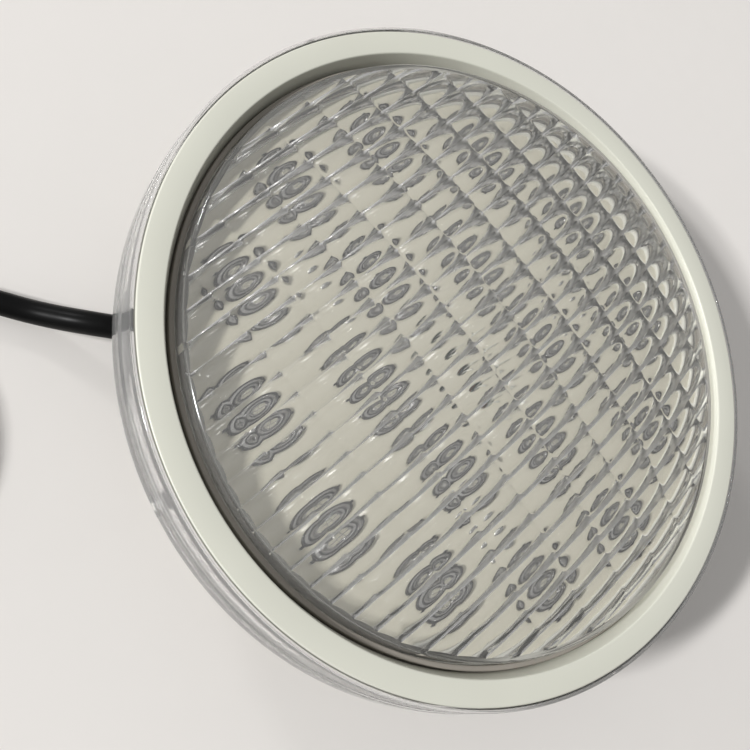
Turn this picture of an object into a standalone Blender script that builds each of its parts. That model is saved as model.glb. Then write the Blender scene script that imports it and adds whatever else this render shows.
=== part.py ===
"""Underwater pool light: a round clear-fronted LED lamp with a sealed driver cup and a glanded cable.

Metres, +Z out of the lens. The origin is on the surface that the lamp stands on, under its axis.
The cable leaves towards -X. Each sub-part is one named object in the collection "pool_light".
"""
import math

import bmesh
import bpy
from mathutils import Matrix, Vector

# Driving dimensions
FACE_Z = 0.0440            # height of the flat front face of the cream ring
RIM_R = 0.0885             # outer radius of the clear rim
RIM_DEPTH = 0.0150         # face to the rim's rear seat
LENS_R = 0.0770            # outer radius of the lens wall
LENS_WALL = 0.0030
DOME_TOP_Z = 0.0600        # top of the lens dome
CUP_R = 0.0540             # outer radius of the driver cup
CABLE_R = 0.0030           # 6 mm round cable
GAP = 0.0003               # clearance between neighbouring pieces
OVERRUN = 0.0010           # how far a cutter reaches past what it cuts

# Round counts
RING_STEPS = 40
SMALL_STEPS = 16
TINY_STEPS = 12

# Front stack, from the clear rim's rear seat upwards
SEAT_Z = FACE_Z - RIM_DEPTH
SHELF_Z = SEAT_Z + 0.0030              # top of the rim's inner shelf
SHELF_R = 0.0800                       # inner radius of that shelf
RIM_BORE_R = 0.0871
RIM_WALL_R = 0.0880                    # outer radius of the rim above its rear foot
RIM_FOOT_Z = FACE_Z - 0.0086           # the rim steps out to its full radius below this
PAN_FLANGE_R = 0.0866
PAN_FLANGE_Z = (SHELF_Z + GAP, 0.0349)
PAN_WALL_R = 0.0796
PAN_FLOOR_Z = (0.0255, 0.0275)
PAN_INNER_R = 0.0775
PAN_HOLE_R = 0.0100
LENS_FLANGE_R = 0.0834
LENS_FLANGE_Z = (PAN_FLANGE_Z[1] + GAP, 0.0374)
GASKET_TOP_Z = 0.0393
RING_BOTTOM_Z = 0.0385
RING_FOOT_R = 0.0790                   # inner radius at the foot of the ring's sloped wall
RING_FACE_R = 0.0805                   # inner radius of the flat face
RING_OUTER_R = 0.0868
SPREADER_Z = (0.0278, 0.0295)
BOARD_Z = (0.0298, 0.0314)
PLATE_R = 0.0768

# Fasteners
RIM_SCREWS = 4
RIM_SCREW_R = 0.0850                   # bolt circle
RIM_SCREW_ANGLE = math.radians(31.0)
BOARD_SCREWS = 3
BOARD_SCREW_R = 0.0420
BOARD_SCREW_ANGLE = math.radians(40.0)
CUP_SCREWS = 3
CUP_SCREW_R = 0.0590
CUP_SCREW_ANGLE = 0.0
SCREW_HOLE_R = 0.0015

# Light sources
OUTER_LEDS = 12
OUTER_LED_R = 0.0580
INNER_LEDS = 6
INNER_LED_R = 0.0270
LED_ANGLE = math.radians(22.5)

# Driver cup
CUP_WALL = 0.0025
CUP_TOP_Z = 0.0244
CUP_FLANGE_R = 0.0640
CUP_FLANGE_Z = 0.0220
DRIVER_Z = (0.0060, 0.0076)
DRIVER_HALF = (0.0320, 0.0220)
PILLAR_XY = (0.0270, 0.0170)

# Cable gland: its axis runs along -X, and its stations are distances from the lamp's axis
GLAND_Z = 0.0113
GLAND_TURN = (0.0, -math.pi / 2.0, 0.0)
GLAND_SEAT = 0.0565                    # flat outer seat on the cup's boss
GLAND_INNER_SEAT = 0.0500
GLAND_HEX = (GLAND_SEAT + 0.0016, GLAND_SEAT + 0.0056)
HEX_R = 0.0104                         # corner radius of the gland's 18 mm hexagon
THREAD_R = 0.0072
THREAD_END = 0.0700

# Cable: its route from inside the gland, the coil of the rest, and the route to the bare end
ROUTE = (
    (-0.0620, 0.0000, GLAND_Z), (-0.0730, 0.0000, GLAND_Z), (-0.0835, 0.0000, GLAND_Z),
    (-0.0900, 0.0004, 0.0101), (-0.0965, 0.0015, 0.0070), (-0.1035, 0.0029, 0.0041),
    (-0.1105, 0.0040, 0.0033), (-0.1190, 0.0050, 0.0032), (-0.1280, 0.0056, 0.0034),
    (-0.1370, 0.0058, 0.0038),
)
COIL_CENTRE = (-0.1600, -0.0364, 0.0)
COIL_INNER_R = 0.0263
COIL_OUTER_R = 0.0452
COIL_Z = (0.0018, 0.0152)
TIE_ANGLE = math.radians(135.0)
TIE_HALF_WIDTH = 0.0024
TIE_THICKNESS = 0.0011
TAIL = (
    (-0.2022, -0.0600, 0.0090), (-0.2021, -0.0680, 0.0062), (-0.2014, -0.0760, 0.0042),
    (-0.2002, -0.0840, 0.0033), (-0.1985, -0.0920, 0.0032),
)
CORE_R = 0.0011


def clear_scene():
    for item in list(bpy.data.objects):
        bpy.data.objects.remove(item, do_unlink=True)


def new_collection(name):
    collection = bpy.data.collections.new(name)
    bpy.context.scene.collection.children.link(collection)
    return collection


def material(name, colour, roughness, metallic=0.0, transmission=0.0):
    made = bpy.data.materials.new(name)
    made.use_nodes = True
    shader = made.node_tree.nodes["Principled BSDF"]
    shader.inputs["Base Color"].default_value = (*colour, 1.0)
    shader.inputs["Roughness"].default_value = roughness
    shader.inputs["Metallic"].default_value = metallic
    shader.inputs["Transmission Weight"].default_value = transmission
    return made


def add_object(name, mesh, finish, collection):
    item = bpy.data.objects.new(name, mesh)
    if finish is not None and not mesh.materials:
        mesh.materials.append(finish)
    collection.objects.link(item)
    return item


def profile_mesh(name, points, closed):
    mesh = bpy.data.meshes.new(name)
    shape = bmesh.new()
    verts = [shape.verts.new((radius, 0.0, height)) for radius, height in points]
    for first, second in zip(verts, verts[1:]):
        shape.edges.new((first, second))
    if closed:
        shape.edges.new((verts[-1], verts[0]))
    shape.to_mesh(mesh)
    shape.free()
    return mesh


def spin(name, mesh, finish, collection, steps):
    """Turn a profile mesh about local Z. The outline runs down its outer side."""
    item = add_object(name, mesh, finish, collection)
    screw = item.modifiers.new("turn", "SCREW")
    screw.axis = "Z"
    screw.angle = 2.0 * math.pi
    screw.steps = steps
    screw.render_steps = steps
    screw.use_merge_vertices = True
    screw.merge_threshold = 0.00001
    screw.use_smooth_shade = False
    return item


def ring(name, points, finish, collection, steps=RING_STEPS):
    """A turned ring from a closed outline."""
    return spin(name, profile_mesh(name, points, True), finish, collection, steps)


def disc(name, points, finish, collection, steps=RING_STEPS):
    """A turned solid whose outline starts and ends on its axis."""
    return spin(name, profile_mesh(name, points, False), finish, collection, steps)


def band(inner, outer, low, high):
    """Outline of a plain flat ring."""
    return ((outer, high), (outer, low), (inner, low), (inner, high))


def cylinder_mesh(name, radius, low, high, sides=TINY_STEPS):
    mesh = bpy.data.meshes.new(name)
    shape = bmesh.new()
    centre = Matrix.Translation((0.0, 0.0, (low + high) / 2.0))
    bmesh.ops.create_cone(shape, cap_ends=True, segments=sides, radius1=radius, radius2=radius,
                          depth=high - low, matrix=centre)
    shape.to_mesh(mesh)
    shape.free()
    return mesh


def box_mesh(name, low, high, bevel=0.0):
    mesh = bpy.data.meshes.new(name)
    shape = bmesh.new()
    size = Vector(high) - Vector(low)
    middle = (Vector(high) + Vector(low)) / 2.0
    place = Matrix.Translation(middle) @ Matrix.Diagonal((*size, 1.0))
    bmesh.ops.create_cube(shape, size=1.0, matrix=place)
    if bevel > 0.0:
        bmesh.ops.bevel(shape, geom=list(shape.edges), offset=bevel, segments=1, affect="EDGES")
    shape.to_mesh(mesh)
    shape.free()
    return mesh


def boolean(target, mesh, operation, cutters, location=(0.0, 0.0, 0.0), rotation=(0.0, 0.0, 0.0)):
    """Cut or join a target with a hidden tool object made from the mesh."""
    tool = add_object(mesh.name, mesh, None, cutters)
    tool.location = location
    tool.rotation_euler = rotation
    tool.hide_render = True
    tool.display_type = "WIRE"
    step = target.modifiers.new(mesh.name, "BOOLEAN")
    step.operation = operation
    step.solver = "EXACT"
    step.object = tool


def on_circle(radius, count, start):
    """Number, x, y and angle of each place on a bolt or lamp circle."""
    for index in range(count):
        angle = start + 2.0 * math.pi * index / count
        yield index + 1, radius * math.cos(angle), radius * math.sin(angle), angle


def drill_circle(target, label, circle, radius, low, high, cutters):
    """Drill one hole at each place on a circle, through the given heights."""
    for number, x, y, _ in on_circle(*circle):
        hole = cylinder_mesh(f"{label}_{number}", radius, low, high)
        boolean(target, hole, "DIFFERENCE", cutters, (x, y, 0.0))


RIM_CIRCLE = (RIM_SCREW_R, RIM_SCREWS, RIM_SCREW_ANGLE)
BOARD_CIRCLE = (BOARD_SCREW_R, BOARD_SCREWS, BOARD_SCREW_ANGLE)
CUP_CIRCLE = (CUP_SCREW_R, CUP_SCREWS, CUP_SCREW_ANGLE)


def smooth_route(points, steps):
    """Catmull-Rom curve through the points, with the given number of steps in each span."""
    places = [Vector(point) for point in points]
    padded = [2.0 * places[0] - places[1], *places, 2.0 * places[-1] - places[-2]]
    route = []
    for first, start, end, last in zip(padded, padded[1:], padded[2:], padded[3:]):
        for step in range(steps):
            t = step / steps
            route.append(0.5 * (2.0 * start + (end - first) * t
                                + (2.0 * first - 5.0 * start + 4.0 * end - last) * t ** 2
                                + (3.0 * start - first - 3.0 * end + last) * t ** 3))
    route.append(places[-1])
    return route


def wire(name, points, radius, finish, collection, steps, resolution):
    """A round wire or cable along a smooth curve through the route's points."""
    data = bpy.data.curves.new(name, "CURVE")
    data.dimensions = "3D"
    data.bevel_depth = radius
    data.bevel_resolution = resolution
    data.use_fill_caps = True
    data.render_resolution_u = 0
    route = smooth_route(points, steps)
    spline = data.splines.new("POLY")
    spline.points.add(len(route) - 1)
    for slot, place in zip(spline.points, route):
        slot.co = (*place, 1.0)
    data.materials.append(finish)
    collection.objects.link(bpy.data.objects.new(name, data))


def make_clear_rim(parts, cutters, finish):
    outline = (
        (RIM_WALL_R - 0.0004, FACE_Z), (RIM_WALL_R, FACE_Z - 0.0005), (RIM_WALL_R, RIM_FOOT_Z + 0.0006),
        (RIM_R - 0.0002, RIM_FOOT_Z), (RIM_R, RIM_FOOT_Z - 0.0030), (RIM_R, SEAT_Z),
        (SHELF_R, SEAT_Z), (SHELF_R, SHELF_Z), (RIM_BORE_R, SHELF_Z), (RIM_BORE_R, FACE_Z),
    )
    rim = ring("clear_rim", outline, finish, parts)
    drill_circle(rim, "rim_hole", RIM_CIRCLE, SCREW_HOLE_R, SEAT_Z - OVERRUN, SHELF_Z + OVERRUN, cutters)
    drill_circle(rim, "rim_sink", RIM_CIRCLE, 0.0026, SEAT_Z - OVERRUN, SEAT_Z + 0.0017, cutters)


def make_face_ring(parts, cutters, finish):
    outline = (
        (RING_OUTER_R - GAP, FACE_Z), (RING_OUTER_R, FACE_Z - GAP), (RING_OUTER_R, RING_BOTTOM_Z),
        (RING_FOOT_R, RING_BOTTOM_Z), (RING_FOOT_R, RING_BOTTOM_Z + 0.0006), (RING_FACE_R, FACE_Z),
    )
    face = ring("face_ring", outline, finish, parts)
    drill_circle(face, "ring_hole", RIM_CIRCLE, 0.0013, RING_BOTTOM_Z - OVERRUN, 0.0418, cutters)


def make_lens_gasket(parts, finish):
    low = LENS_FLANGE_Z[1] + GAP
    high = RING_BOTTOM_Z - GAP
    inner = LENS_R + 0.0004
    upstand = RING_FOOT_R - GAP
    outline = ((LENS_FLANGE_R, high), (LENS_FLANGE_R, low), (inner, low), (inner, GASKET_TOP_Z),
               (upstand, GASKET_TOP_Z), (upstand, high))
    ring("lens_gasket", outline, finish, parts)


def dome_arc(radius, edge_z, top_z, count):
    """Points of a spherical cap from its top on the axis out to its edge."""
    rise = top_z - edge_z
    sphere = (radius * radius + rise * rise) / (2.0 * rise)
    reach = math.asin(radius / sphere)
    arc = []
    for index in range(count + 1):
        angle = reach * index / count
        arc.append((sphere * math.sin(angle), top_z - sphere * (1.0 - math.cos(angle))))
    return arc


def make_front_lens(parts, finish):
    low, high = LENS_FLANGE_Z
    edge_z = FACE_Z + 0.0010
    inner_r = LENS_R - LENS_WALL
    outer = dome_arc(LENS_R, edge_z, DOME_TOP_Z, 6)
    inner = dome_arc(inner_r, edge_z - 0.0020, DOME_TOP_Z - LENS_WALL, 5)
    flange = [(LENS_R, high), (LENS_FLANGE_R, high), (LENS_FLANGE_R, low), (inner_r, low)]
    disc("front_lens", outer + flange + inner[::-1], finish, parts)


def make_rear_pan(parts, cutters, finish):
    low, high = PAN_FLOOR_Z
    flange_low, flange_high = PAN_FLANGE_Z
    outline = (
        (PAN_FLANGE_R, flange_high), (PAN_FLANGE_R, flange_low), (PAN_WALL_R, flange_low),
        (PAN_WALL_R, low), (PAN_HOLE_R, low), (PAN_HOLE_R, high), (PAN_INNER_R, high),
        (PAN_INNER_R, flange_high),
    )
    pan = ring("rear_pan", outline, finish, parts)
    floor = (low - OVERRUN, high + OVERRUN)
    flange = (flange_low - OVERRUN, flange_high + OVERRUN)
    drill_circle(pan, "pan_rim", RIM_CIRCLE, SCREW_HOLE_R, *flange, cutters)
    drill_circle(pan, "pan_cup", CUP_CIRCLE, SCREW_HOLE_R, *floor, cutters)
    drill_circle(pan, "pan_board", BOARD_CIRCLE, SCREW_HOLE_R, *floor, cutters)


def make_light_plate(name, inner, span, finish, parts, cutters):
    """A round plate with a wire hole at its centre and the board screws' holes."""
    low, high = span
    plate = ring(name, band(inner, PLATE_R, low, high), finish, parts)
    drill_circle(plate, f"{name}_hole", BOARD_CIRCLE, SCREW_HOLE_R, low - OVERRUN, high + OVERRUN, cutters)


def make_board_ring(parts, finish):
    low = BOARD_Z[1] + GAP
    high = PAN_FLANGE_Z[1]
    ring("board_ring", ((0.0771, high), (0.0771, low), (0.0728, low), (0.0738, high)), finish, parts)


def make_leds(parts, finish):
    base = BOARD_Z[1] + GAP
    outline = ((0.0, base + 0.0034), (0.0024, base + 0.0027), (0.0034, base + 0.0016),
               (0.0080, base + 0.0014), (0.0080, base), (0.0, base))
    mesh = profile_mesh("led", outline, False)
    circles = (("led_outer", (OUTER_LED_R, OUTER_LEDS, LED_ANGLE)),
               ("led_inner", (INNER_LED_R, INNER_LEDS, LED_ANGLE)))
    for label, circle in circles:
        for number, x, y, angle in on_circle(*circle):
            led = spin(f"{label}_{number:02d}", mesh, finish, parts, TINY_STEPS)
            led.location = (x, y, 0.0)
            led.rotation_euler = (0.0, 0.0, angle)


def make_screw_set(label, circle, outline, parts, finish):
    mesh = profile_mesh(label, outline, False)
    for number, x, y, _ in on_circle(*circle):
        spin(f"{label}_{number}", mesh, finish, parts, TINY_STEPS).location = (x, y, 0.0)


def upward_screw(head_r, head_low, head_high, shank_r, tip_z):
    """Half outline of a screw driven from behind: its head is below and its tip above."""
    return ((0.0, tip_z), (shank_r, tip_z), (shank_r, head_high), (head_r, head_high),
            (head_r, head_low), (0.0, head_low))


def make_screws(parts, finish):
    make_screw_set("rim_screw", RIM_CIRCLE,
                   upward_screw(0.0022, SEAT_Z + 0.0001, SEAT_Z + 0.0014, 0.0010, 0.0414), parts, finish)
    head_z = CUP_FLANGE_Z - GAP
    make_screw_set("cup_screw", CUP_CIRCLE,
                   upward_screw(0.0028, head_z - 0.0018, head_z, 0.0012, 0.0271), parts, finish)
    top = BOARD_Z[1] + GAP
    tip = PAN_FLOOR_Z[0] + 0.0004
    make_screw_set("board_screw", BOARD_CIRCLE,
                   ((0.0, top + 0.0014), (0.0022, top + 0.0009), (0.0026, top), (0.0012, top),
                    (0.0012, tip), (0.0, tip)), parts, finish)


def make_driver_cup(parts, cutters, finish):
    inner = CUP_R - CUP_WALL
    outline = (
        (0.0, CUP_WALL), (inner, CUP_WALL), (inner, CUP_TOP_Z), (CUP_FLANGE_R, CUP_TOP_Z),
        (CUP_FLANGE_R, CUP_FLANGE_Z), (CUP_R, CUP_FLANGE_Z), (CUP_R, 0.0010), (CUP_R - 0.0010, 0.0),
        (0.0, 0.0),
    )
    cup = disc("driver_cup", outline, finish, parts)
    boss = box_mesh("gland_boss", (-GLAND_SEAT, -0.0110, 0.0008), (-GLAND_INNER_SEAT, 0.0110, 0.0221))
    boolean(cup, boss, "UNION", cutters)
    corners = [(x, y) for x in (-PILLAR_XY[0], PILLAR_XY[0]) for y in (-PILLAR_XY[1], PILLAR_XY[1])]
    for number, (x, y) in enumerate(corners, 1):
        pillar = cylinder_mesh(f"pillar_{number}", 0.0030, CUP_WALL - 0.0005, DRIVER_Z[0] - GAP)
        boolean(cup, pillar, "UNION", cutters, (x, y, 0.0))
    drill_circle(cup, "cup_hole", CUP_CIRCLE, SCREW_HOLE_R, CUP_FLANGE_Z - OVERRUN, CUP_TOP_Z + OVERRUN,
                 cutters)
    hole = cylinder_mesh("gland_hole", 0.0065, 0.0440, 0.0640, SMALL_STEPS)
    boolean(cup, hole, "DIFFERENCE", cutters, (0.0, 0.0, GLAND_Z), GLAND_TURN)


def make_driver(parts, colours):
    low, high = DRIVER_Z
    half_x, half_y = DRIVER_HALF
    top = high + GAP
    boxes = (
        ("driver_board", (-half_x, -half_y, low), (half_x, half_y, high), 0.0, "green"),
        ("bridge_rectifier", (-0.0120, -0.0170, top), (-0.0020, -0.0070, top + 0.0040), 0.0005, "black"),
        ("terminal_block", (-0.0300, -0.0070, top), (-0.0210, 0.0070, top + 0.0080), 0.0006, "block"),
    )
    for name, corner, far_corner, bevel, colour in boxes:
        add_object(name, box_mesh(name, corner, far_corner, bevel), colours[colour], parts)
    can = ((0.0, top + 0.0120), (0.0045, top + 0.0120), (0.0050, top + 0.0115), (0.0050, top), (0.0, top))
    disc("capacitor", can, colours["can"], parts, SMALL_STEPS).location = (0.0210, -0.0105, 0.0)
    core_r, core_z = 0.0030, top + 0.0032
    turns = [2.0 * math.pi * step / 8 for step in range(8)]
    outline = [(0.0068 + core_r * math.sin(turn), core_z + core_r * math.cos(turn)) for turn in turns]
    ring("choke", outline, colours["copper"], parts, SMALL_STEPS).location = (-0.0040, 0.0100, 0.0)


def make_leads(parts, colours):
    """The cable's two cores go to the terminal block, and two leads go up to the light board."""
    block_top = DRIVER_Z[1] + GAP + 0.0080
    for name, side, colour in (("lead_in_brown", 1.0, "brown"), ("lead_in_blue", -1.0, "blue")):
        route = (
            (-0.0616, side * 0.0012, GLAND_Z), (-0.0540, side * 0.0013, GLAND_Z),
            (-0.0470, side * 0.0018, GLAND_Z + 0.0008), (-0.0400, side * 0.0026, GLAND_Z + 0.0046),
            (-0.0330, side * 0.0034, GLAND_Z + 0.0080), (-0.0275, side * 0.0036, GLAND_Z + 0.0086),
            (-0.0255, side * 0.0036, block_top + 0.0024), (-0.0255, side * 0.0036, block_top + GAP),
        )
        wire(name, route, 0.0009, colours[colour], parts, 2, 1)
    board_top = BOARD_Z[1]
    for name, side in (("lead_out_1", 1.0), ("lead_out_2", -1.0)):
        route = (
            (0.0100, side * 0.0030, DRIVER_Z[1] + GAP), (0.0098, side * 0.0030, 0.0130),
            (0.0050, side * 0.0026, 0.0190), (0.0024, side * 0.0020, 0.0240),
            (0.0022, side * 0.0020, 0.0300), (0.0036, side * 0.0028, 0.0330),
            (0.0076, side * 0.0040, board_top + 0.0016), (0.0096, side * 0.0046, board_top + 0.0011),
        )
        wire(name, route, 0.0007, colours["block"], parts, 2, 1)


def gland_piece(item):
    """Put a turned piece on the gland's axis, with its heights running outwards."""
    item.location = (0.0, 0.0, GLAND_Z)
    item.rotation_euler = GLAND_TURN
    return item


def gland_boolean(target, mesh, operation, cutters):
    boolean(target, mesh, operation, cutters, (0.0, 0.0, GLAND_Z), GLAND_TURN)


def make_gland(parts, cutters, colours):
    hex_low, hex_high = GLAND_HEX
    outline = ((0.0, THREAD_END), (THREAD_R, THREAD_END), (THREAD_R, hex_low + 0.0010),
               (0.0061, hex_low + 0.0010), (0.0061, 0.0446), (0.0, 0.0446))
    body = gland_piece(disc("gland_body", outline, colours["gland"], parts, SMALL_STEPS))
    gland_boolean(body, cylinder_mesh("gland_hexagon", HEX_R, hex_low, hex_high, 6), "UNION", cutters)
    bore = cylinder_mesh("gland_bore", 0.0042, 0.0436, 0.0710, SMALL_STEPS)
    gland_boolean(body, bore, "DIFFERENCE", cutters)
    seal_seat = cylinder_mesh("gland_seal_seat", 0.0057, 0.0622, 0.0710, SMALL_STEPS)
    gland_boolean(body, seal_seat, "DIFFERENCE", cutters)
    washer = band(0.0068, 0.0092, GLAND_SEAT + GAP, hex_low - GAP)
    gland_piece(ring("gland_washer", washer, colours["rubber"], parts, SMALL_STEPS))
    locknut = band(0.0068, 0.0084, 0.0466, GLAND_INNER_SEAT - GAP)
    gland_piece(ring("gland_locknut", locknut, colours["gland"], parts, SMALL_STEPS))
    gland_piece(ring("gland_seal", band(0.0033, 0.0054, 0.0626, 0.0690), colours["rubber"], parts,
                     SMALL_STEPS))


def make_gland_claw(parts, finish):
    outline = ((0.0042, 0.0748), (0.0058, 0.0732), (0.0058, 0.0704), (0.0054, 0.0694),
               (0.0034, 0.0694), (0.0034, 0.0748))
    gland_piece(ring("gland_claw", outline, finish, parts, SMALL_STEPS))


def make_gland_nut(parts, cutters, finish):
    outline = ((0.0070, 0.0780), (0.0102, 0.0744), (0.0102, 0.0640), (0.0075, 0.0640),
               (0.0075, 0.0712), (0.0061, 0.0738), (0.0046, 0.0752), (0.0037, 0.0780))
    nut = gland_piece(ring("gland_nut", outline, finish, parts, 24))
    flats = cylinder_mesh("nut_flats", HEX_R, 0.0630, 0.0790, 6)
    gland_boolean(nut, flats, "INTERSECT", cutters)


def make_cable(parts, cutters, colours):
    wire("cable", ROUTE, CABLE_R, colours["cable"], parts, 3, 3)
    wire("cable_tail", TAIL, CABLE_R, colours["cable"], parts, 3, 3)
    coil = ring("cable_coil", band(COIL_INNER_R, COIL_OUTER_R, *COIL_Z), colours["cable"], parts, 32)
    coil.location = COIL_CENTRE
    end = Vector(TAIL[-1])
    onward = (end - Vector(TAIL[-2])).normalized()
    across = onward.cross(Vector((0.0, 0.0, 1.0))).normalized()
    for name, side, colour in (("core_brown", -1.0, "brown"), ("core_blue", 1.0, "blue")):
        steps = ((0.0005, 0.0013, 0.0), (0.0060, 0.0018, -0.0009), (0.0130, 0.0042, -0.0017),
                 (0.0210, 0.0070, -0.0018))
        route = [end + onward * ahead + across * side * out + Vector((0.0, 0.0, down))
                 for ahead, out, down in steps]
        wire(name, route, CORE_R, colours[colour], parts, 3, 2)
    make_tie(parts, cutters, colours["rubber"])


def make_tie(parts, cutters, finish):
    """A strap that goes once round the coil's turns."""
    inner, outer = COIL_INNER_R - 0.0005, COIL_OUTER_R + 0.0005
    low, high = COIL_Z[0] - GAP, COIL_Z[1] + GAP
    thick, half = TIE_THICKNESS, TIE_HALF_WIDTH
    block = box_mesh("cable_tie", (inner - thick, -half, low - thick), (outer + thick, half, high + thick))
    tie = add_object("cable_tie", block, finish, parts)
    tie.location = COIL_CENTRE
    tie.rotation_euler = (0.0, 0.0, TIE_ANGLE)
    window = box_mesh("tie_window", (inner, -2.0 * half, low), (outer, 2.0 * half, high))
    boolean(tie, window, "DIFFERENCE", cutters, COIL_CENTRE, (0.0, 0.0, TIE_ANGLE))


def main():
    clear_scene()
    parts = new_collection("pool_light")
    cutters = new_collection("cutters")
    clear = material("clear_polycarbonate", (0.93, 0.94, 0.94), 0.05, transmission=1.0)
    cream = material("cream_plastic", (0.78, 0.78, 0.70), 0.55)
    white = material("white_plastic", (0.85, 0.85, 0.82), 0.45)
    grey = material("grey_plastic", (0.62, 0.62, 0.60), 0.50)
    steel = material("steel", (0.66, 0.66, 0.65), 0.30, metallic=1.0)
    alloy = material("aluminium", (0.80, 0.80, 0.80), 0.40, metallic=1.0)
    emitter = material("emitter", (0.75, 0.73, 0.60), 0.20)
    colours = {
        "rubber": material("rubber", (0.02, 0.02, 0.02), 0.60),
        "cable": material("cable_jacket", (0.015, 0.015, 0.015), 0.45),
        "gland": material("gland_nylon", (0.03, 0.03, 0.03), 0.40),
        "green": material("driver_laminate", (0.05, 0.22, 0.10), 0.40),
        "black": material("component", (0.02, 0.02, 0.022), 0.50),
        "block": material("insulation_white", (0.80, 0.80, 0.77), 0.45),
        "can": material("capacitor_sleeve", (0.04, 0.05, 0.12), 0.30),
        "copper": material("copper_winding", (0.72, 0.38, 0.18), 0.30, metallic=1.0),
        "brown": material("core_brown", (0.20, 0.08, 0.03), 0.40),
        "blue": material("core_blue", (0.04, 0.12, 0.45), 0.40),
    }
    make_clear_rim(parts, cutters, clear)
    make_face_ring(parts, cutters, cream)
    make_lens_gasket(parts, colours["rubber"])
    make_front_lens(parts, clear)
    make_board_ring(parts, white)
    make_leds(parts, emitter)
    make_light_plate("led_board", 0.0050, BOARD_Z, white, parts, cutters)
    make_light_plate("heat_spreader", 0.0060, SPREADER_Z, alloy, parts, cutters)
    make_rear_pan(parts, cutters, grey)
    make_driver_cup(parts, cutters, grey)
    cup_seal = band(0.0518, 0.0566, CUP_TOP_Z + GAP, PAN_FLOOR_Z[0] - GAP)
    ring("cup_gasket", cup_seal, colours["rubber"], parts)
    make_screws(parts, steel)
    make_driver(parts, colours)
    make_leads(parts, colours)
    make_gland(parts, cutters, colours)
    make_gland_claw(parts, colours["block"])
    make_gland_nut(parts, cutters, colours["gland"])
    make_cable(parts, cutters, colours)


main()
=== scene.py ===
"""Underwater pool light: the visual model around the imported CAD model, with its camera, floor and light.

Metres, +Z out of the lens. Every piece is built where its CAD node lies.
"""
import math

import bmesh
import bpy
from mathutils import Matrix, Vector


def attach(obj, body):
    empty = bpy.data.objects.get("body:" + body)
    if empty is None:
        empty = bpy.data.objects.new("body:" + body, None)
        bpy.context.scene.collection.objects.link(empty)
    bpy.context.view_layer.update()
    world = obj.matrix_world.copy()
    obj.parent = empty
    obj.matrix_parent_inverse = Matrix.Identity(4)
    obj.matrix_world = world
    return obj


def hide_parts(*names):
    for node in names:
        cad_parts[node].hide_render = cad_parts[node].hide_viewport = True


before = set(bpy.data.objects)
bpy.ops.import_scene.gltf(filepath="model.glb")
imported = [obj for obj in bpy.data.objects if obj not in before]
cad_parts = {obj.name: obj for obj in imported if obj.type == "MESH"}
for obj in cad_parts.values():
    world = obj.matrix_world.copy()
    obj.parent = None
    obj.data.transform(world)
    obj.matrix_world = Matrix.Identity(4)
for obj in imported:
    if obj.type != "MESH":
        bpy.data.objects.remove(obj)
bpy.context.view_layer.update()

# Stations of the lamp's pieces. All but the lens's inner radius are the CAD model's
FACE_Z = 0.0440
RIM_R = 0.0885
RIM_WALL_R = 0.0880
RIM_FOOT_Z = 0.0354
SEAT_Z = 0.0290
SHELF_Z = 0.0320
SHELF_R = 0.0800
RIM_BORE_R = 0.0871
RING_OUTER_R = 0.0868
RING_FACE_R = 0.0805
RING_FOOT_R = 0.0790
RING_BOTTOM_Z = 0.0385
LENS_R = 0.0770
LENS_INNER_R = 0.0752                  # a 1.8 mm wall, where the CAD model's is 3 mm
LENS_EDGE_Z = 0.0450
LENS_TOP_Z = 0.0600
LENS_FLANGE_R = 0.0834
LENS_FLANGE_Z = (0.0352, 0.0374)
LED_Z = 0.0317
CUP_R = 0.0540
CUP_FLANGE_R = 0.0640
GLAND_Z = 0.0113
GLAND_SEAT = 0.0565
HEX_R = 0.0104
GAP = 0.0003

# Bolt circles and lamp circles: radius, count, first angle
RIM_CIRCLE = (0.0850, 4, math.radians(31.0))
CUP_CIRCLE = (0.0590, 3, 0.0)
BOARD_CIRCLE = (0.0420, 3, math.radians(40.0))
OUTER_LEDS = (0.0580, 12, math.radians(22.5))
INNER_LEDS = (0.0270, 6, math.radians(22.5))

# The lens's hollow cells, moulded on its inner face
CELL_LENGTH = 0.0133
CELL_WIDTH = 0.0058
CELL_TURN = math.radians(44.0)         # direction of a cell's long side
CELL_SHIFT = (0.0027, 0.0029)          # a corner where four cells meet
CELL_STEPS = (20, 12)                  # mesh steps along and across a cell
HOLLOW_ALONG = 0.0009                  # how much the lens thickens towards a cell's ends
HOLLOW_ACROSS = 0.0013                 # and towards its sides
CELL_WALL = 0.0016                     # thickness of the lens in the middle of a cell

# The cable: its route, its coil and its end
CABLE_R = 0.0030
ROUTE = (
    (-0.0620, 0.0000, GLAND_Z), (-0.0730, 0.0000, GLAND_Z), (-0.0835, 0.0000, GLAND_Z),
    (-0.0900, 0.0004, 0.0101), (-0.0965, 0.0015, 0.0070), (-0.1035, 0.0029, 0.0041),
    (-0.1105, 0.0040, 0.0033), (-0.1190, 0.0050, 0.0032), (-0.1280, 0.0056, 0.0034),
    (-0.1370, 0.0058, 0.0036),
)
TAIL = (
    (-0.2022, -0.0600, 0.0084), (-0.2021, -0.0680, 0.0062), (-0.2014, -0.0760, 0.0042),
    (-0.2002, -0.0840, 0.0033), (-0.1985, -0.0920, 0.0032),
)
COIL_CENTRE = Vector((-0.1600, -0.0364, 0.0))
COIL_RADII = (0.0421, 0.0358, 0.0295)
COIL_LAYERS = (0.0034, 0.0096)         # heights of the lower and the upper turns
COIL_STEPS = 36                        # points in each turn
CROSSING = (30.0, 85.0)                # degrees of each turn over which it moves to its next track
TIE_ANGLE = 135.0                      # degrees round the coil
TIE_LIFT = 0.0013                      # how far the tie's strap lifts the turns off the floor


# ---------------------------------------------------------------- materials

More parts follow.
